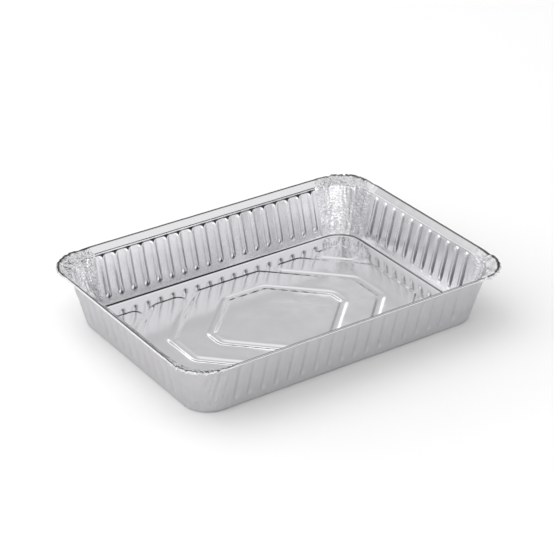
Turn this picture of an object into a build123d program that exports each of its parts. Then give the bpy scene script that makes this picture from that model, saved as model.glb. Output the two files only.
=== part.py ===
from build123d import *
import os
from math import atan2, cos, degrees, radians, sin, sqrt, tan

# Aluminium foil tray: one sheet, pressed into an oblong tub with ribbed walls, an embossed base and
# a sloping flange with a rolled edge.
# Frame: millimetres, +Z up, origin on the underside of the base at its centre, long walls along X.

# Sheet
gauge = 0.12  # thickness of the foil

# Overall
rim_length = 330.0  # over the rim, along X
rim_width = 242.5  # over the rim, along Y
height = 53.7  # underside of the base to the top of the rim
base_length = 292.0
base_width = 201.0

# Corners and bends, seen from outside
base_corner = 24.0
mouth_corner = 31.0
rim_corner = 30.0  # tighter than the mouth's corner, so the flange is widest there
base_bend = 3.0  # where the wall turns into the base

# Rim
flange_run = 8.0  # how far the rim stands out from the top of the wall
flange_slope = 36.0  # degrees above level, rising outwards
riser_height = 1.5  # upright band between the leaning wall and the flange
roll_radius = 1.2  # the foil's edge is rolled over, out and under
roll_sweep = 250.0  # degrees that the roll turns through

# Ribs pressed into the straight walls
rib_pitch = 13.2
rib_width = 6.6  # where a rib meets the wall
rib_foot_depth = 1.1
rib_top_depth = 1.6
rib_foot = 11.5  # height where the rib's rounded toe begins
rib_top_gap = 1.0  # plain wall between a rib's top and the riser
rib_top_fillet = 1.2
rib_corner_gap = 6.0  # least distance from the last rib's crest to the corner's curve

# Gathers pressed into the corners' walls
gathers_per_corner = 9
gather_width = 2.6
gather_depth = 0.6
gather_foot = 8.0
gather_sweep = 76.0  # degrees of each corner that the gathers fill

# Panels raised in the base, with channels between them
panel_height = 0.9
panel_flank = 4.4  # width of a panel's sloping edge, seen from above
panel_corner = 9.0
field_length = 257.0  # over the whole field of panels, along X
field_width = 166.2
channel_width = 1.6  # flat bottom of a channel
inner_reach = (65.0, 53.0)  # centre lines of the inner channel, along X and Y
inner_cut = 73.5  # where its slanting sides would meet the axes
outer_reach = 98.3  # centre line of the outer channel's short side
outer_cut = 118.0
corner_cut = 163.5  # the channels that cut off the field's corners

# Worked out from the sizes above
slope = radians(flange_slope)
mouth_x = rim_length / 2 - flange_run
mouth_y = rim_width / 2 - flange_run
roll_out = flange_run - roll_radius  # centre of the roll, out from the mouth
roll_z = height - roll_radius
flange_out = roll_out - (roll_radius - gauge) * sin(slope)  # underside of the flange's outer edge
flange_top = roll_z + (roll_radius - gauge) * cos(slope)
riser_top = flange_top - flange_out * tan(slope)
seam_rise = gauge * cos(slope)  # how far the flange runs into the roll, so that they are one sheet
seam_run = seam_rise / tan(slope)
wall_top = riser_top - riser_height
run_x = mouth_x - base_length / 2
run_y = mouth_y - base_width / 2


def bar_radius(width, depth):
    """Radius of a round bar whose nose, of that depth, is that wide where it enters a face."""
    return (width**2 / 4 + depth**2) / (2 * depth)


def wall_outline(z, skin):
    """Half sizes and corner radius of the wall at a height, on the skin that lies skin inside."""
    rise = z / wall_top
    half_x = base_length / 2 + run_x * rise - skin
    half_y = base_width / 2 + run_y * rise - skin
    return half_x, half_y, base_corner + (mouth_corner - base_corner) * rise - skin


def press_bar(radii, top_fillet):
    """A tapering round bar, upright on the origin, with a domed foot and a rounded top edge."""
    foot_radius, top_radius, length = radii
    with BuildPart() as bar:
        with BuildSketch(Plane.XZ) as profile:
            with BuildLine():
                side = Line((foot_radius, 0), (top_radius, length))
                end = Line(side @ 1, (0, length))
                Line(end @ 1, (0, -foot_radius))
                RadiusArc((0, -foot_radius), side @ 0, -foot_radius)
            make_face()
            fillet(profile.vertices().group_by(Axis.Y)[-1].sort_by(Axis.X)[-1], top_fillet)
        revolve(axis=Axis.Z)
    return bar.part


def on_four_sides(bars):
    """The bars and their mirror images in the other three quarters of the tray."""
    across = [bar.mirror(Plane.YZ) for bar in bars]
    return bars + across + [bar.mirror(Plane.XZ) for bar in bars + across]


def rib_bars(skin):
    """Bars that press the ribs into the straight walls, for the skin that lies skin inside."""
    foot_radius = bar_radius(rib_width, rib_foot_depth)
    top_radius = bar_radius(rib_width, rib_top_depth)
    rib_top = wall_top - rib_top_gap
    bars = []
    for wall, straight in (("long", base_length), ("short", base_width)):
        room = straight - 2 * (base_corner + rib_corner_gap)
        count = int(room // rib_pitch) + 1
        ends = []
        for z, radius, depth in (
            (rib_foot, foot_radius, rib_foot_depth),
            (rib_top, top_radius, rib_top_depth),
        ):
            half_x, half_y, _ = wall_outline(z, 0)
            ends.append((z, (half_y if wall == "long" else half_x) + radius - depth))
        (foot_z, foot_out), (top_z, top_out) = ends
        length = sqrt((top_z - foot_z) ** 2 + (top_out - foot_out) ** 2)
        tool = press_bar(
            (foot_radius + skin, top_radius + skin, length + skin), rib_top_fillet + skin
        )
        for n in range(count):
            along = (n - (count - 1) / 2) * rib_pitch
            for side in (1, -1):
                if wall == "long":
                    foot = Vector(along, side * foot_out, foot_z)
                    top = Vector(along, side * top_out, top_z)
                else:
                    foot = Vector(side * foot_out, along, foot_z)
                    top = Vector(side * top_out, along, top_z)
                bars.append(Plane(origin=foot, z_dir=top - foot).location * tool)
    return bars


def gather_bars(skin):
    """Slim bars that press the gathers into the corners' walls, for that same skin."""
    radius = bar_radius(gather_width, gather_depth)
    bars = []
    for n in range(gathers_per_corner):
        angle = radians(45 + gather_sweep * (n / (gathers_per_corner - 1) - 0.5))
        ends = []
        for z in (gather_foot, wall_top - rib_top_gap):
            half_x, half_y, corner = wall_outline(z, 0)
            reach = corner + radius - gather_depth
            x = half_x - corner + reach * cos(angle)
            y = half_y - corner + reach * sin(angle)
            ends.append(Vector(x, y, z))
        foot, top = ends
        tool = press_bar(
            (radius + skin, radius + skin, (top - foot).length + skin), rib_top_fillet / 2 + skin
        )
        bars.append(Plane(origin=foot, z_dir=top - foot).location * tool)
    return on_four_sides(bars)


def octagon(reach_x, reach_y, cut):
    """Corners of an octagon: a rectangle of these half sizes, its corners cut along |x| + |y|."""
    quarter = [(cut - reach_y, reach_y), (reach_x, cut - reach_x)]
    right = quarter + [(x, -y) for x, y in reversed(quarter)]
    return right + [(-x, -y) for x, y in right]


def channel(reach_x, reach_y, cut):
    """The flat bottom of an eight-sided channel about this centre line."""
    half = channel_width / 2
    with BuildSketch() as ring:
        Polygon(*octagon(reach_x + half, reach_y + half, cut + half * sqrt(2)), align=None)
        Polygon(
            *octagon(reach_x - half, reach_y - half, cut - half * sqrt(2)),
            align=None,
            mode=Mode.SUBTRACT,
        )
    return ring.sketch


def panels(skin):
    """The raised panels, as solids that stand under the skin that lies skin inside."""
    beyond_x = field_length / 2 + channel_width
    beyond_y = field_width / 2 + channel_width
    channels = [
        channel(*inner_reach, inner_cut),
        channel(outer_reach, beyond_y, outer_cut),
        channel(beyond_x, beyond_y, corner_cut),
    ]
    with BuildPart() as raised:
        with BuildSketch(Plane.XY.offset(skin)) as field:
            Rectangle(field_length, field_width)
            add(channels, mode=Mode.SUBTRACT)
            fillet(field.vertices(), panel_corner)
        extrude(amount=panel_height, taper=degrees(atan2(panel_flank, panel_height)))
    return raised.part


def form(skin):
    """The solid that fills the tray out to the skin that lies skin inside the outer one."""
    with BuildPart() as filling:
        for z in (skin, wall_top):
            half_x, half_y, corner = wall_outline(z, skin)
            with BuildSketch(Plane.XY.offset(z)):
                RectangleRounded(2 * half_x, 2 * half_y, corner)
        loft(ruled=True)
        fillet(filling.faces().sort_by(Axis.Z)[0].edges(), base_bend - skin)
        add(rib_bars(skin) + gather_bars(skin) + [panels(skin)], mode=Mode.SUBTRACT)
        with BuildSketch(Plane.XY.offset(wall_top)):
            RectangleRounded(2 * (mouth_x - skin), 2 * (mouth_y - skin), mouth_corner - skin)
        extrude(amount=riser_height)
    return filling.part


def rim_outline(out):
    """Half sizes and corner radius of the outline that lies that far out from the mouth."""
    corner = mouth_corner + (rim_corner - mouth_corner) * out / flange_run
    return mouth_x + out, mouth_y + out, corner


def under_flange(lift):
    """The solid that fills the mouth up to the flange's underside, raised by lift."""
    with BuildPart() as filling:
        for out, z in ((0, riser_top), (flange_out + seam_run, flange_top + seam_rise)):
            half_x, half_y, corner = rim_outline(out)
            with BuildSketch(Plane.XY.offset(z + lift)):
                RectangleRounded(2 * half_x, 2 * half_y, corner)
        loft(ruled=True)
    return filling.part


def flange():
    """The sloping flange, as thick as the foil, on top of the riser."""
    lift = gauge / cos(slope)
    with BuildPart() as sheet:
        add(under_flange(0))
        add(under_flange(lift), mode=Mode.SUBTRACT)
        with BuildSketch(Plane.XY.offset(riser_top)):
            RectangleRounded(2 * (mouth_x - gauge), 2 * (mouth_y - gauge), mouth_corner - gauge)
        extrude(amount=lift, mode=Mode.SUBTRACT)
    return sheet.part


def rolled_edge():
    """The roll along the flange's outer edge: an arc of foil carried round the rim."""
    half_x, half_y, corner = rim_outline(roll_out)
    straight_x, straight_y = half_x - corner, half_y - corner
    with BuildLine() as path:
        edge = Line((half_x, 0), (half_x, straight_y))
        for length in (2 * straight_x, 2 * straight_y, 2 * straight_x, straight_y):
            bend = JernArc(edge @ 1, edge % 1, corner, 90)
            edge = Line(bend @ 1, (bend @ 1) + (bend % 1) * length)
    with BuildPart() as strip:
        with BuildSketch(Plane.XZ):
            with BuildLine():
                arc = CenterArc((half_x, roll_z), roll_radius, 90 + flange_slope, -roll_sweep)
                inner = CenterArc((half_x, roll_z), roll_radius - gauge, 90 + flange_slope, -roll_sweep)
                Line(arc @ 0, inner @ 0)
                Line(arc @ 1, inner @ 1)
            make_face()
        sweep(path=path.line)
    return strip.part


with BuildPart() as tray:
    add(form(0))
    add(form(gauge), mode=Mode.SUBTRACT)
    add([flange(), rolled_edge()])

tray.part.label = "tray"
os.makedirs("parts", exist_ok=True)
export_step(tray.part, "parts/tray.step")
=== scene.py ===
# %% [markdown]
# # An aluminium foil tray
# The real tray starts as a flat sheet of rolled foil, about a tenth of a millimetre thick. A press pushes
# it into an oblong tub, raises panels in its base, presses ribs into its walls and rolls its edge over.
# This file loads the exact model of that tray and builds a detailed surface in the same place.

# %% Load the exact model
import math

import bpy
import bmesh
import numpy as np
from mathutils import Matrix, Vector, kdtree, noise
from mathutils.geometry import delaunay_2d_cdt


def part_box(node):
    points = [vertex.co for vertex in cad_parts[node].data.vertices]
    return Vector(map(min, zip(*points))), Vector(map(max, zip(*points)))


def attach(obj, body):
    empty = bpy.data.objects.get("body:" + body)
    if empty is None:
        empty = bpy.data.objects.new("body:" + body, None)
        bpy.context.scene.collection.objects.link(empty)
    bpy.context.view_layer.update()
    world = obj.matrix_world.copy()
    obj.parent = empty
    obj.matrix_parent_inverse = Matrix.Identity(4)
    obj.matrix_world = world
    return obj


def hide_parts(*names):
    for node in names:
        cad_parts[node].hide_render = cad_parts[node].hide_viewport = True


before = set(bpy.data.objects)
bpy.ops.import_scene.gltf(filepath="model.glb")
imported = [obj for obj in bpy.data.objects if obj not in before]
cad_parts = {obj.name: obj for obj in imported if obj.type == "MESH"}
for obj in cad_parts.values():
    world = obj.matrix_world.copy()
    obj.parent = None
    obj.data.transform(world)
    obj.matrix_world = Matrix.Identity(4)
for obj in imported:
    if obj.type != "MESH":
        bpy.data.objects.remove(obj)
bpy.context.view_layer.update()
_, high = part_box("tray")
MM = 0.001
rim_x = high.x / MM
rim_y = high.y / MM
height = high.z / MM
print(f"rim {2 * rim_x:.1f} x {2 * rim_y:.1f} mm, {height:.1f} mm high")

# %% [markdown]
# ## The camera
# A long lens from well back keeps the tray's sides nearly parallel, as in a catalogue picture. The camera
# stands on a line from a target on the table, at a turn and a height, and looks along that line.

# %% Place the camera
TARGET = Vector((0.0408, 0.0623, 0.0))
TURN, LIFT, DISTANCE = math.radians(-34.27), math.radians(28.57), 1.7868
back = Vector((math.sin(TURN) * math.cos(LIFT), -math.cos(TURN) * math.cos(LIFT), math.sin(LIFT)))
camera_data = bpy.data.cameras.new("camera")
camera_data.lens = 127.2
camera_data.sensor_width = 36.0
camera = bpy.data.objects.new("camera", camera_data)
camera.location = TARGET + back * DISTANCE
camera.rotation_euler = (-back).to_track_quat("-Z", "Y").to_euler()
bpy.context.collection.objects.link(camera)
bpy.context.scene.camera = camera
print("camera at", [round(value, 3) for value in camera.location])

# %% [markdown]
# ## The sizes of the pressing
# The tray's outline is a rounded oblong that grows from the base to the mouth and again over the flange.
# Everything that follows is measured in millimetres from these few sizes.

# %% Sizes in millimetres
GAUGE = 0.12
base_x, base_y, base_corner = 146.0, 100.5, 24.0  # half sizes of the base, and its corner
flange_run = 8.0
mouth_x, mouth_y, mouth_corner = rim_x - flange_run, rim_y - flange_run, 31.0
wall_top, riser_top = 47.4, 48.9
FLANGE_SLOPE = math.radians(36)
ROLL = 1.2  # radius of the rolled edge
RIM_CORNER = 30.0  # tighter than the mouth's corner, so the flange is widest there
BEND = 3.0  # radius between the wall and the base
RIB_PITCH = 13.2
RIBS = (11, 18)  # along a short wall and along a long one
RIB_WIDTH = 7.4
RIB_FOOT, RIB_TOP = 13.5, 47.3  # heights where the rounded foot begins and the top ends
FOOT_DEPTH, TOP_DEPTH = 1.5, 0.7
ROUND_TOP, TOE = 3.0, 6.5  # lengths of the closing top and of the rounded foot
LEDGE = 0.22  # how far the wall draws in just under the riser
SHADE_LEFT, SHADE_RIGHT = 0.3, 0.7  # how dark the painted shade is on the two edges of a rib
rib_zone = [count * RIB_PITCH / 2 for count in RIBS]
print("half the ribbed length of a short and a long wall:", rib_zone)

# %% [markdown]
# ## Columns round the tray
# The wall is made as a cloth of columns and rows, wrapped round the tub. A column needs to fall on the
# crest, the flanks and the foot of each rib, and the crumpled corners need many columns close together.

# %% Work out where the columns stand
# Distances from a rib's crest, close together over its two edges.
RIB_STATIONS = (-6.6, -4.4, -3.5, -2.6, -1.6, -0.6, 0.6, 1.6, 2.6, 3.5, 4.4)
GAP_STEPS = 4
CORNER_STEPS = 50


def stations(zone, count):
    """Columns of one side and the corner after it: kind, place, and on a rib its number and the offset."""
    found = []
    for step in range(GAP_STEPS):
        found.append(("gap", step / GAP_STEPS - 1, None))
    for rib in range(count):
        centre = (rib - (count - 1) / 2) * RIB_PITCH
        found += [("rib", centre + offset, (rib, offset)) for offset in RIB_STATIONS]
    for step in range(GAP_STEPS):
        found.append(("gap", step / GAP_STEPS, None))
    for step in range(CORNER_STEPS):
        found.append(("corner", math.pi / 2 * step / CORNER_STEPS, None))
    return found


columns = []
for side in range(4):
    for kind, where, rib in stations(rib_zone[side % 2], RIBS[side % 2]):
        columns.append((side, kind, where, rib))
print(len(columns), "columns")


def outline(half_x, half_y, corner):
    """Plan position and outward direction of every column on a rounded oblong."""
    points, outward = [], []
    for side, kind, where, rib in columns:
        along, out = (half_y, half_x) if side % 2 == 0 else (half_x, half_y)
        zone, straight = rib_zone[side % 2], along - corner
        if kind == "corner":
            normal = (math.cos(where), math.sin(where))
            point = (out - corner + corner * normal[0], straight + corner * normal[1])
        else:
            normal = (1.0, 0.0)
            if kind == "gap" and where < 0:
                place = -zone + (straight - zone) * where
            elif kind == "gap":
                place = zone + (straight - zone) * where
            else:
                place = where
            point = (out, place)
        turn = side * math.pi / 2
        c, s = math.cos(turn), math.sin(turn)
        points.append((c * point[0] - s * point[1], s * point[0] + c * point[1]))
        outward.append((c * normal[0] - s * normal[1], s * normal[0] + c * normal[1]))
    return np.array(points), np.array(outward)


# %% [markdown]
# ## Rows up the wall and over the rim
# Each row is the same rounded oblong at another height: first the bend out of the base, then the leaning
# wall, the short riser, the sloping flange, and last the roll, which turns the edge over, out and under.

# %% List the rows
# Rows up the wall lie close together where the ribs' feet and tops curve.
LOWER_ROWS = (3.6, 5.2, 7.0, 8.0, 9.0, 10.2, 11.6, 13.5, 17.0, 21.0, 25.0)
UPPER_ROWS = (29.0, 33.0, 37.0, 40.5, 43.0, 44.6, 45.7, 46.4, 46.9)
BORDER_INSETS = (6.5, 4.4)  # rows on the flat border of the base
BEND_STEPS = 5
WALL_LEAN = math.atan(0.25)  # between the long walls' lean and the short walls'
FLANGE_SHARES = (0.06, 0.36, 0.66, 0.86)  # rows across the flange
ROLL_STEPS, ROLL_STEP = 10, math.radians(22)
rows = []  # (half sizes and corner, height, part of the profile, share of the way across the rim)
lean_x, lean_y = mouth_x - base_x, mouth_y - base_y


def leaning(z):
    rise = z / wall_top
    corner = base_corner + (mouth_corner - base_corner) * rise
    return (base_x + lean_x * rise, base_y + lean_y * rise, corner)


def grown(size, distance):
    return tuple(value + distance for value in size)


base_size = (base_x, base_y, base_corner)
for inset in BORDER_INSETS:
    rows.append((grown(base_size, -inset), 0.0, "base", 0))
turn = math.pi / 2 - WALL_LEAN
reach = BEND * math.tan(turn / 2)
for step in range(BEND_STEPS + 1):
    angle = turn * step / BEND_STEPS
    out = -reach + BEND * math.sin(angle)
    z = BEND * (1 - math.cos(angle))
    rows.append((grown(base_size, out), z, "bend", 0))
for z in LOWER_ROWS + UPPER_ROWS:
    rows.append((leaning(z), z, "wall", 0))
mouth = (mouth_x, mouth_y, mouth_corner)


def rim_outline(out):
    """The rounded oblong that lies out from the mouth; its corners tighten towards the rim."""
    corner = mouth_corner + (RIM_CORNER - mouth_corner) * out / flange_run
    return (mouth_x + out, mouth_y + out, corner)


for z in (wall_top + 0.2, riser_top - 0.1):
    rows.append((mouth, z, "riser", 0))
# The flange slopes up and out, and its edge is rolled over, out and under.
skin = ROLL - GAUGE
CLEAR = 0.02  # how far the surface stays inside the exact model's box
roll_out, roll_z = flange_run - ROLL, height - CLEAR - ROLL


def roll_point(angle):
    """A point of the rolled edge; the angle leans outward from straight up."""
    return roll_out + skin * math.sin(angle), roll_z + skin * math.cos(angle)


roll_start = roll_point(-FLANGE_SLOPE)
for share in FLANGE_SHARES:
    out = share * roll_start[0]
    z = riser_top + share * (roll_start[1] - riser_top)
    rows.append((rim_outline(out), z, "flange", 0.6 * share))
for step in range(ROLL_STEPS + 1):
    out, z = roll_point(-FLANGE_SLOPE + ROLL_STEP * step)
    rows.append((rim_outline(out), z, "roll", 0.6 + 0.05 * step))
print(len(rows), "rows")

# %% Where painted shade darkens the foil, all the way round
CREST_SHADE = (-40, 30)  # degrees that the painted shade on the roll's crest reaches in and out from straight up
BEND_SHADE = (0.6, 1.7)  # heights between which the bend into the base gets painted shade
BEND_SHARE = 0.85
# Painted shade: a dark line along the roll's crest and along the bend into the base, standing in for the
# shade there.
painted_shade_mask = [0.0] * len(rows)
for r, (size, z, part, across) in enumerate(rows):
    if part == "roll":
        lean = math.degrees(math.atan2(size[0] - mouth_x - roll_out, z - roll_z))
        painted_shade_mask[r] = 1.0 if CREST_SHADE[0] < lean < CREST_SHADE[1] and z > roll_z else 0.0
    elif part == "bend" and BEND_SHADE[0] < z < BEND_SHADE[1]:
        painted_shade_mask[r] = BEND_SHARE
print("rubbed rows", [r for r, share in enumerate(painted_shade_mask) if share > 0])

# %% [markdown]
# ## Ribs, creases and crumples
# A rib is a smooth swell pressed in from outside, deepest at its rounded foot and shallow at its top. The
# corners have more foil than they need, so it gathers in sharp upright creases, and the rim over them is
# crushed into short folds. Each says how far the foil moves from the plain wall. A ridged noise suits the
# creases, because real ones are sharp, and moving the points themselves keeps the outline true as well.

# %% How far a rib stands in from the wall
def rib_depth(offset, z, strength):
    """Depth at this distance from the rib's crest and at this height; strength sets the whole rib's."""
    share = min(1, max(0, (z - RIB_FOOT) / (RIB_TOP - RIB_FOOT)))
    depth = (FOOT_DEPTH + (TOP_DEPTH - FOOT_DEPTH) * share) * strength
    # Seen end on, a rib is one swell of a cosine, and its foot ends in a dome.
    toe = min(1, max(0, (RIB_FOOT - z) / TOE)) * RIB_WIDTH / 2
    away = min(1, math.hypot(offset, toe) / (RIB_WIDTH / 2))
    soft = depth * (1 + math.cos(math.pi * away)) / 2
    # The top closes gently, so the ribs end in shallow scallops under the riser.
    closing = min(1, max(0, (z - RIB_TOP + ROUND_TOP) / ROUND_TOP))
    return soft * (1 - closing**2 * (3 - 2 * closing))


def ridged(x, y, z):
    """A noise with sharp ridges, as creased foil has, from -1 to 1."""
    return 1 - 2.4 * abs(noise.noise(Vector((x, y, z))))


# %% Shape every point of the wall and rim
def crumple_share(side, kind, where):
    """0 on the ribbed wall, 1 at the corner."""
    if kind == "corner":
        return 1.0
    return abs(where) ** 0.6 if kind == "gap" else 0.0


CREASE, CREASE_DEPTH = 0.85, 1.28  # height of the corners' creases, and how far they draw the wall in
FOLD, FOLD_DROP = 1.2, 1.0  # height of the folds in the corners' rim, and how far they press it down
CRUSH = 0.8  # how far those folds push in and out
RISER_SHARE = 0.25  # the riser is folded less than the rim
WAVE, RIM_WAVE = 0.06, 0.10  # slow waves of the wall, in and out, and of the rim, up and down
mouth_points, _ = outline(mouth_x, mouth_y, mouth_corner)
positions = np.zeros((len(rows), len(columns), 3))
for r, (size, z, part, across) in enumerate(rows):
    points, outward = outline(*size)
    for c, (side, kind, where, rib) in enumerate(columns):
        crumple = crumple_share(side, kind, where)
        px, py = points[c]
        # The noise is read at the column's place on the mouth, so that creases run straight up the wall.
        gx, gy = mouth_points[c]
        out, lift = 0.0, 0.0
        if part in ("bend", "wall", "riser"):
            # The foil grows rougher up the wall, and no two ribs are quite alike.
            up = min(1, max(0, (z - 1.5) / 8))
            if rib is not None:
                strength = 1 + 0.07 * math.sin(5.1 * rib[0] + 2.3 * side)
                shift = 0.25 * math.sin(3.7 * rib[0] + side)
                out -= rib_depth(rib[1] + shift * z / 47, z, strength)
            # Just under the riser the wall draws in by a hair, which makes a narrow ledge.
            out -= LEDGE * min(1, max(0, (z - 36) / 10)) * min(1, max(0, (wall_top + 0.2 - z) / 1.2))
            out += WAVE * up * noise.noise(Vector((gx / 17, gy / 17, z / 11)))
            drift = 2.5 * noise.noise(Vector((gx / 14, gy / 14, z / 12)))
            crease = ridged((gx + drift) / 5.0, (gy - drift) / 5.0, z / 16)
            crease += 0.5 * ridged((gx - drift) / 2.4, (gy + drift) / 2.4, z / 7 + 7)
            out += crumple * up * (CREASE * crease - CREASE_DEPTH)
        if part in ("riser", "flange", "roll"):
            rough = noise.noise(Vector((gx / 2.3, gy / 2.3, 9 + across * 3)))
            fold = ridged(gx / 3.0, gy / 3.0, 4 + across * 1.2)
            amount = (RISER_SHARE if part == "riser" else 1.0) * crumple
            lift += amount * (FOLD * fold - FOLD_DROP + rough)
            out += amount * CRUSH * noise.noise(Vector((gx / 2.6, gy / 2.6, 20 + across * 2)))
            lift += RIM_WAVE * noise.noise(Vector((gx / 9, gy / 9, 31 + across)))
        positions[r, c] = (px + out * outward[c][0], py + out * outward[c][1], z + lift)
# The foil's gauge is added outside the rim's points, so they stop that far inside the exact model's box.
EDGE = GAUGE + CLEAR
positions[:, :, 0] = np.clip(positions[:, :, 0], -rim_x + EDGE, rim_x - EDGE)
positions[:, :, 1] = np.clip(positions[:, :, 1], -rim_y + EDGE, rim_y - EDGE)
positions[:, :, 2] = np.clip(positions[:, :, 2], 0, height - EDGE)
print("wall and rim points", positions.shape, "highest", round(positions[:, :, 2].max(), 2))

# %% [markdown]
# ## Wrap a grid round the tub
# A grid has just the layout that is wanted: columns and rows. One is added with a spare column, its points
# are moved to the places worked out above, and the spare column is welded to the first to close the wall.

# %% Make the wall and the rim
bpy.ops.object.select_all(action="DESELECT")
column_count, row_count = len(columns), len(rows)
bpy.ops.mesh.primitive_grid_add(x_subdivisions=column_count, y_subdivisions=row_count - 1, size=1.0)
tray = bpy.context.object
tray.name = "foil_tray"
tray.data.name = "foil_tray"
wrapped = np.concatenate([positions, positions[:, :1]], axis=1) * MM
tray.data.vertices.foreach_set("co", wrapped.reshape(-1))
tray.data.update()
print("grid", len(tray.data.vertices), "points", (column_count + 1) * row_count)

# %% [markdown]
# ## Painted shade, and where the foil is crushed
# Dark lines are painted along the roll's crest, the bend and the ribs' edges as painted shade. Where the
# foil was crushed it breaks into small facets. Both are painted on the points as attributes, which the
# materials read, because they follow the pressing and not any pattern in space.

# %% Paint the shade on the ribs' edges, the roll and the bend, and mark the crushed corners
EDGE_LEFT, EDGE_RIGHT = (2.0, 3.0), (-3.0, -1.5)  # distances from the crest where a rib's edges get painted shade
LOWER_HALF = (8.0, 11.0, 18.0, 42.0)  # heights where the painted shade begins, is full, begins to fade, and ends
FADED = 0.75


def shade_by_height(z):
    """How dark a rib's edges are painted at this height, as shade: most of all in its lower half."""
    start, full, fade, end = LOWER_HALF
    rising = min(1, max(0, (z - start) / (full - start)))
    return rising * (1 - FADED * min(1, max(0, (z - fade) / (end - fade))))


def rib_edge(offset):
    """The painted shade on the rib's edge at this distance from its crest, or 0 between its edges."""
    if EDGE_RIGHT[0] < offset < EDGE_RIGHT[1]:
        return SHADE_RIGHT
    return SHADE_LEFT if EDGE_LEFT[0] < offset < EDGE_LEFT[1] else 0.0


painted_shade = []
for share, (size, z, part, across) in zip(painted_shade_mask, rows):
    lower = shade_by_height(z) if part == "wall" else 0.0
    around = [share] * column_count
    for c, (side, kind, where, rib) in enumerate(columns):
        if rib is not None:
            around[c] = max(share, lower * rib_edge(rib[1]))
    painted_shade += around + around[:1]
# This attribute carries the painted shade.
crest = tray.data.attributes.new("painted_shade_mask", "FLOAT", "POINT")
crest.data.foreach_set("value", painted_shade)
# Most on the corners' rims, some on the corners' walls.
CRUSHED_PARTS = {"base": 0.0, "bend": 0.15, "wall": 0.3, "riser": 0.7, "flange": 1.0, "roll": 1.0}
crushed = []
for size, z, part, across in rows:
    share = CRUSHED_PARTS[part]
    around = [share * crumple_share(side, kind, where) for side, kind, where, rib in columns]
    crushed += around + around[:1]
crush = tray.data.attributes.new("crush", "FLOAT", "POINT")
crush.data.foreach_set("value", crushed)
for name, shares in (("painted_shade", painted_shade), ("crushed", crushed)):
    print(name, "points", sum(share > 0 for share in shares), "of", len(shares))

# %% [markdown]
# ## The embossed base
# The base holds raised panels between flat channels that run as nested octagons. A panel's edge is a soft
# step, so each outline is drawn several times, side by side across the step, and the flats between are
# filled with triangles. A Delaunay fill keeps the lines crisp and spends few points on the flats.

# %% Sizes of the base pattern, in millimetres
PANEL_HEIGHT = 0.65
FLANK = 4.4
PANEL_CORNER = 9.0
FIELD_X, FIELD_Y = 128.5, 83.1
CHANNEL = 0.8  # half the channel's flat bottom
INNER_X, INNER_Y, INNER_CUT = 65.0, 53.0, 73.5
OUTER_X, OUTER_CUT = 98.3, 118.0
CORNER_CUT = 163.5
diagonal = CHANNEL * math.sqrt(2)


def octagon(reach_x, reach_y, cut):
    """Corners of an octagon, anticlockwise."""
    quarter = [(reach_x, cut - reach_x), (cut - reach_y, reach_y)]
    upper = quarter + [(-x, y) for x, y in reversed(quarter)]
    return upper + [(-x, -y) for x, y in upper]


inner_in = octagon(INNER_X - CHANNEL, INNER_Y - CHANNEL, INNER_CUT - diagonal)
inner_out = octagon(INNER_X + CHANNEL, INNER_Y + CHANNEL, INNER_CUT + diagonal)
ring = octagon(OUTER_X - CHANNEL, FIELD_Y, OUTER_CUT - diagonal)
near, far = OUTER_CUT + diagonal, CORNER_CUT - diagonal
side_upper = [(FIELD_X, far - FIELD_X), (far - FIELD_Y, FIELD_Y), (near - FIELD_Y, FIELD_Y),
              (OUTER_X + CHANNEL, near - OUTER_X - CHANNEL)]
side_panel = side_upper + [(x, -y) for x, y in reversed(side_upper)]
cut = CORNER_CUT + diagonal
corner_panel = [(FIELD_X, cut - FIELD_X), (FIELD_X, FIELD_Y), (cut - FIELD_Y, FIELD_Y)]


def mirrored(points, flip_x, flip_y):
    turned = [(-x if flip_x else x, -y if flip_y else y) for x, y in points]
    return turned[::-1] if flip_x != flip_y else turned


# Each loop has its corners and the way that the panel lies: 1 inside it, -1 outside it.
loops = [(inner_in, 1), (inner_out, -1), (ring, 1)]
loops += [(mirrored(side_panel, flip, False), 1) for flip in (False, True)]
loops += [(mirrored(corner_panel, fx, fy), 1) for fx in (False, True) for fy in (False, True)]
print(len(loops), "panel outlines")


# %% Draw one outline, moved sideways and rounded
def rounded(points, inset, radius, spacing):
    """The closed outline moved in by inset, its corners rounded to keep their centres."""
    count, path = len(points), []
    corners = []
    for i in range(count):
        a, b, c = (Vector(points[(i + k) % count]) for k in (-1, 0, 1))
        before, after = (b - a).normalized(), (c - b).normalized()
        turned = before.x * after.y - before.y * after.x
        swing = math.acos(max(-1, min(1, before.dot(after))))
        inward = [Vector((-d.y, d.x)) for d in (before, after)]
        corner = b + (inward[0] + inward[1]) * inset / (1 + inward[0].dot(inward[1]))
        bend = radius - inset if turned > 0 else radius + inset
        tangent = bend * math.tan(swing / 2)
        ends = (corner - before * tangent, corner + after * tangent)
        corners.append((*ends, inward[0], swing, turned, bend))
    for i, (start, end, inward, swing, turned, bend) in enumerate(corners):
        sign = 1 if turned > 0 else -1
        centre = start + inward * bend * sign
        arm = start - centre
        arc_steps = max(4, round(swing * (radius + 2) / spacing))
        for step in range(arc_steps + 1):
            angle = sign * swing * step / arc_steps
            c, s = math.cos(angle), math.sin(angle)
            path.append(centre + Vector((c * arm.x - s * arm.y, s * arm.x + c * arm.y)))
        onward = corners[(i + 1) % count][0]
        pieces = max(1, round((onward - end).length / spacing))
        path += [end.lerp(onward, step / pieces) for step in range(1, pieces)]
    return path


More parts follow.
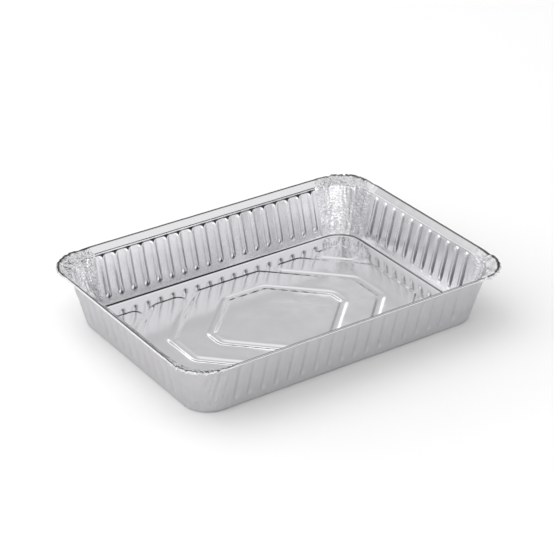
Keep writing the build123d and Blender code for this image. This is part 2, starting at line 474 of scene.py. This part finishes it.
# %% Fill the base
LINE_SPACING = 2.5  # points along an outline
LEVELS = (-0.4, 0.5, 1.3, 2.2, 3.1, 3.9, 4.8)
plan, lifts, edges = [], [], []
for corners, way in loops:
    for level in LEVELS:
        path = rounded(corners, way * level, PANEL_CORNER, LINE_SPACING)
        share = min(1, max(0, level / FLANK))
        lift = PANEL_HEIGHT * share * share * (3 - 2 * share)
        first = len(plan)
        plan += path
        lifts += [lift] * len(path)
        edges += [(first + i, first + (i + 1) % len(path)) for i in range(len(path))]
tree = kdtree.KDTree(len(plan))
for i, point in enumerate(plan):
    tree.insert((point.x, point.y, 0), i)
tree.balance()


def raised(x, y):
    """True on a panel's flat top or flank, by which channels and borders the place lies between."""
    x, y = abs(x), abs(y)
    if x > FIELD_X or y > FIELD_Y:
        return False
    inner = max(x - INNER_X, y - INNER_Y, (x + y - INNER_CUT) / math.sqrt(2))
    outer = max(x - OUTER_X, (x + y - OUTER_CUT) / math.sqrt(2))
    corner = (x + y - CORNER_CUT) / math.sqrt(2)
    return all(abs(distance) > CHANNEL for distance in (inner, outer, corner))


border = [Vector(point) for point in positions[0, :, :2]]
inner_size = grown(base_size, -8.5)  # clear of the border's rows
SPACING = 6.0  # points on the flats, in a pattern of equal triangles
KEEP_OFF = 2.4  # least distance from an outline's points
ROWS_OUT, COLUMNS_OUT = 20, 26  # enough to reach past the base's edges
flats = []
for row in range(-ROWS_OUT, ROWS_OUT + 1):
    for column in range(-COLUMNS_OUT, COLUMNS_OUT + 1):
        x = (column + 0.5 * (row % 2)) * SPACING
        y = row * SPACING * 0.866
        dx = max(0, abs(x) - (inner_size[0] - inner_size[2]))
        dy = max(0, abs(y) - (inner_size[1] - inner_size[2]))
        if math.hypot(dx, dy) < inner_size[2] and tree.find((x, y, 0))[2] > KEEP_OFF:
            flats.append((Vector((x, y)), PANEL_HEIGHT if raised(x, y) else 0.0))
plan += [point for point, _ in flats]
lifts += [lift for _, lift in flats]
first = len(plan)
plan += border
lifts += [0.0] * len(border)
face = list(range(first, len(plan)))
found, _, triangles, origins, _, _ = delaunay_2d_cdt(plan, edges, [face], 1, 1e-6)
SAG, SAG_LENGTH = 0.16, 31.0  # slow waves on the panels' flat tops
base_mesh = bpy.data.meshes.new("base")
base_points = []
for point, origin in zip(found, origins):
    lift = lifts[origin[0]] if origin else 0.0
    wave = 0.0
    if lift > PANEL_HEIGHT - 0.01:
        wave = SAG * noise.noise(Vector((point.x / SAG_LENGTH, point.y / SAG_LENGTH, 3)))
    base_points.append((point.x * MM, point.y * MM, (lift + wave) * MM))
base_mesh.from_pydata(base_points, [], [list(t)[::-1] for t in triangles])
base = bpy.data.objects.new("base", base_mesh)
bpy.context.collection.objects.link(base)
print("base", len(base_points), "points", len(triangles), "triangles")

# %% [markdown]
# ## One sheet, with a real gauge
# The base and the wall share their border points, so joining them and welding those points makes one
# sheet. Solidify then gives it the foil's gauge. Foil is rolled two sheets at a time, which leaves one
# side bright and the other dull, so the modifier gives the inside of the tray its own finish.

# %% Join, weld and thicken
bpy.ops.object.select_all(action="DESELECT")
base.select_set(True)
tray.select_set(True)
bpy.context.view_layer.objects.active = tray
bpy.ops.object.join()
bpy.ops.object.mode_set(mode="EDIT")
bpy.ops.mesh.select_all(action="SELECT")
bpy.ops.mesh.remove_doubles(threshold=0.00002)
bpy.ops.mesh.normals_make_consistent(inside=False)
bpy.ops.object.mode_set(mode="OBJECT")
bottom = min(tray.data.polygons, key=lambda f: f.center.xy.length)
if bottom.normal.z > 0:
    tray.data.flip_normals()
open_edges = bmesh.new()
open_edges.from_mesh(tray.data)
print("open edges before thickening", sum(e.is_boundary for e in open_edges.edges), "of", column_count)
open_edges.free()


# %% [markdown]
# ## Rolled aluminium, bright side and dull side
# Household foil is nearly pure aluminium. The last rolling pass doubles the sheet: the faces that touch
# the polished rolls come out bright, with faint lines along the rolling, and the two that touch each other
# come out matt. Colours are given as sRGB hex and turned to linear values by one function.

# %% Helpers for materials
def linear(hex_colour):
    values = [int(hex_colour[i:i + 2], 16) / 255 for i in (1, 3, 5)]
    return [v / 12.92 if v <= 0.04045 else ((v + 0.055) / 1.055) ** 2.4 for v in values] + [1.0]


def add_node(tree, kind, settings=None, values=None, links=None):
    """Add a node, set its properties and sockets, and link other nodes' outputs into it."""
    node = tree.nodes.new(kind)
    for name, value in (settings or {}).items():
        setattr(node, name, value)
    for name, value in (values or {}).items():
        node.inputs[name].default_value = value
    for name, output in (links or {}).items():
        tree.links.new(output, node.inputs[name])
    return node


def rolled_foil(name, colour, shade_colour, roughness, spread, stretch, bump):
    """Foil of a base roughness that varies by spread, and grows by stretch where the walls are drawn."""
    material = bpy.data.materials.new(name)
    material.use_nodes = True
    tree = material.node_tree
    shader = tree.nodes["Principled BSDF"]
    # The attribute read here mixes in a darker colour: painted shade along the roll's crest, the bend and
    # the ribs' edges.
    painted_shade = add_node(tree, "ShaderNodeAttribute", {"attribute_name": "painted_shade_mask"})
    tint = add_node(tree, "ShaderNodeMix", {"data_type": "RGBA"},
                    {6: linear(colour), 7: linear(shade_colour)}, {0: painted_shade.outputs["Fac"]})
    tree.links.new(tint.outputs[2], shader.inputs["Base Color"])
    shader.inputs["Metallic"].default_value = 1.0
    place = add_node(tree, "ShaderNodeTexCoord").outputs["Object"]
    # Rolling lines lie 0.6 mm apart and run along the tray.
    lines_map = add_node(tree, "ShaderNodeMapping", values={"Scale": (25, 1600, 1600)},
                         links={"Vector": place})
    lines = add_node(tree, "ShaderNodeTexNoise", values={"Scale": 1.0, "Detail": 3.0},
                     links={"Vector": lines_map.outputs["Vector"]})
    # Slow waves, 20 mm long, are what bends a reflection in thin foil.
    waves = add_node(tree, "ShaderNodeTexNoise", values={"Scale": 50.0, "Detail": 2.0},
                     links={"Vector": place})
    # Clouds of smoother and rougher foil are about 11 mm across.
    clouds = add_node(tree, "ShaderNodeTexNoise", values={"Scale": 90.0, "Detail": 4.0},
                      links={"Vector": place})
    smooth, matt = roughness - spread, roughness + spread
    rough = add_node(tree, "ShaderNodeMapRange",
                     values={"From Min": 0.3, "From Max": 0.7, "To Min": smooth, "To Max": matt},
                     links={"Value": clouds.outputs[0]})
    # Drawing stretches the walls and roughens them, and leaves the base as smooth as it was rolled.
    height_of = add_node(tree, "ShaderNodeSeparateXYZ", links={"Vector": place}).outputs["Z"]
    drawn = add_node(tree, "ShaderNodeMapRange",
                     values={"From Min": 0.0015, "From Max": 0.007, "To Min": 0.0, "To Max": stretch},
                     links={"Value": height_of})
    total = add_node(tree, "ShaderNodeMath", {"operation": "ADD"},
                     links={0: rough.outputs["Result"], 1: drawn.outputs["Result"]})
    tree.links.new(total.outputs["Value"], shader.inputs["Roughness"])
    wave_bump = add_node(tree, "ShaderNodeBump", values={"Strength": bump, "Distance": 0.0004},
                         links={"Height": waves.outputs[0]})
    line_bump = add_node(tree, "ShaderNodeBump", values={"Strength": 0.15, "Distance": 0.00003},
                         links={"Height": lines.outputs[0], "Normal": wave_bump.outputs["Normal"]})
    # Crushed foil breaks into facets 2 mm across.
    crush = add_node(tree, "ShaderNodeAttribute", {"attribute_name": "crush"})
    facets = add_node(tree, "ShaderNodeTexNoise", values={"Scale": 480.0, "Detail": 2.0},
                      links={"Vector": place})
    crushed = add_node(tree, "ShaderNodeMath", {"operation": "MULTIPLY"},
                       links={0: facets.outputs[0], 1: crush.outputs["Fac"]})
    facet_bump = add_node(tree, "ShaderNodeBump", values={"Strength": 1.0, "Distance": 0.002},
                          links={"Height": crushed.outputs["Value"], "Normal": line_bump.outputs["Normal"]})
    tree.links.new(facet_bump.outputs["Normal"], shader.inputs["Normal"])
    return material


# The second colour of each is painted shade, for the dark lines along the roll's crest, the bend and the
# ribs' edges.
dull_side = rolled_foil("rolled_aluminium_dull_side", "#CFCED0", "#C8C7C9", 0.58, 0.04, 0.0, 0.2)
bright_side = rolled_foil("rolled_aluminium_bright_side", "#EFEFF1", "#4C4B4D", 0.14, 0.02, 0.03, 0.25)
tray.data.materials.clear()
tray.data.materials.append(dull_side)
tray.data.materials.append(bright_side)
print("materials", [m.name for m in tray.data.materials])

# %% Thicken the sheet
bpy.context.view_layer.objects.active = tray
bpy.ops.object.modifier_add(type="SOLIDIFY")
gauge = tray.modifiers[-1]
gauge.thickness = GAUGE * MM
gauge.offset = -1.0
gauge.material_offset = 1
bpy.ops.object.modifier_apply(modifier=gauge.name)
bpy.ops.object.shade_smooth()
for polygon in tray.data.polygons:
    # The flange and the roll show the bright side all over.
    if polygon.center.z > riser_top * MM:
        polygon.material_index = 1
tray.data.calc_loop_triangles()
print("triangles", len(tray.data.loop_triangles))

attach(tray, "root")
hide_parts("tray")

# %% [markdown]
# ## The studio
# Bright metal shows what surrounds it, so the room matters more than the lamp. It is soft and pale, dark
# only along the skyline behind the tray and in five small places that draw the fine dark lines in the
# foil. A white floor lights the outside of the walls from below.

# %% Floor
bpy.ops.object.select_all(action="DESELECT")
bpy.ops.mesh.primitive_plane_add(size=12.0, location=(0, 0, -0.0002))
floor = bpy.context.object
floor.name = "floor"
paper = bpy.data.materials.new("matt_white_paper")
paper.use_nodes = True
paper.node_tree.nodes["Principled BSDF"].inputs["Base Color"].default_value = linear("#F4F4F4")
paper.node_tree.nodes["Principled BSDF"].inputs["Roughness"].default_value = 0.9
floor.data.materials.append(paper)
print("floor", floor.dimensions[:])

# %% World and lamps
# Brightness of the room by direction: behind the tray from the skyline upwards, then in front of it.
BEHIND_HORIZON, BEHIND_LOW, BEHIND, OVERHEAD = 0.03, 1.5, 0.57, 0.95
HORIZON, FRONT_HIGH = 1.4, 0.9
# Each dark place has a direction, the cosines at its edge and at its core, and its brightness.
DARK_PLACES = (
    ((0.49, -0.77, 0.41), 0.91, 0.96, 0.02),  # front: the bends of the base and the riser
    ((0.76, 0.27, 0.59), 0.93, 0.975, 0.02),  # right, high: the ribs' images in the base
    ((-0.97, -0.09, 0.2), 0.95, 0.985, 0.35),  # left, low: the ribs' right flanks
    ((-0.52, -0.29, 0.80), 0.94, 0.975, 0.15),  # overhead: the image of the far corner in the base
    ((-0.80, -0.58, 0.15), 0.95, 0.99, 0.6),  # left, low, in front: the far corner
)
world = bpy.data.worlds.new("studio")
bpy.context.scene.world = world
world.use_nodes = True
sky = world.node_tree
sky.nodes.clear()
direction = add_node(sky, "ShaderNodeTexCoord").outputs["Generated"]
split = add_node(sky, "ShaderNodeSeparateXYZ", links={"Vector": direction})


def ramp(value, start, end, at_start, at_end):
    """A smooth change of brightness as a direction's part goes from start to end."""
    return add_node(sky, "ShaderNodeMapRange", {"interpolation_type": "SMOOTHSTEP"},
                    {"From Min": start, "From Max": end, "To Min": at_start, "To Max": at_end},
                    {"Value": value}).outputs["Result"]


def blend_light(share, first, second):
    """first where share is 0, second where it is 1; each is a number or a node's output."""
    values, links = {}, {"Factor": share}
    for name, item in (("A", first), ("B", second)):
        (values if isinstance(item, float) else links)[name] = item
    return add_node(sky, "ShaderNodeMix", {"data_type": "FLOAT"}, values, links).outputs["Result"]


# The blends below run over the direction's height (Z, from 0 at the skyline to 1 overhead) and its Y.
away, up = split.outputs["Y"], split.outputs["Z"]
low_behind = blend_light(ramp(up, 0.05, 0.16, 0.0, 1.0), BEHIND_HORIZON, BEHIND_LOW)
high_behind = ramp(up, 0.55, 0.8, BEHIND, OVERHEAD)
behind = blend_light(ramp(up, 0.41, 0.468, 0.0, 1.0), low_behind, high_behind)
front = ramp(up, 0.3, 0.75, HORIZON, FRONT_HIGH)
room = blend_light(ramp(away, -0.3, 0.1, 0.0, 1.0), front, behind)
for aim, edge, core, light in DARK_PLACES:
    towards = add_node(sky, "ShaderNodeVectorMath", {"operation": "DOT_PRODUCT"}, {1: aim}, {0: direction})
    room = blend_light(ramp(towards.outputs["Value"], edge, core, 0.0, 1.0), room, light)
background = add_node(sky, "ShaderNodeBackground", values={"Strength": 1.0}, links={"Color": room})
add_node(sky, "ShaderNodeOutputWorld", links={"Surface": background.outputs["Background"]})


def softbox(name, place, aim, size, power):
    lamp = bpy.data.lights.new(name, "AREA")
    lamp.shape = "RECTANGLE"
    lamp.size, lamp.size_y = size
    lamp.energy = power
    holder = bpy.data.objects.new(name, lamp)
    holder.location = place
    holder.rotation_euler = (Vector(aim) - Vector(place)).to_track_quat("-Z", "Y").to_euler()
    bpy.context.collection.objects.link(holder)
    return holder


overhead = softbox("overhead", (-1.5, 0.7, 2.0), (0.0, 0.0, 0.0), (4.2, 4.2), 55)
overhead.visible_glossy = False
bpy.context.scene.view_settings.view_transform = "Standard"
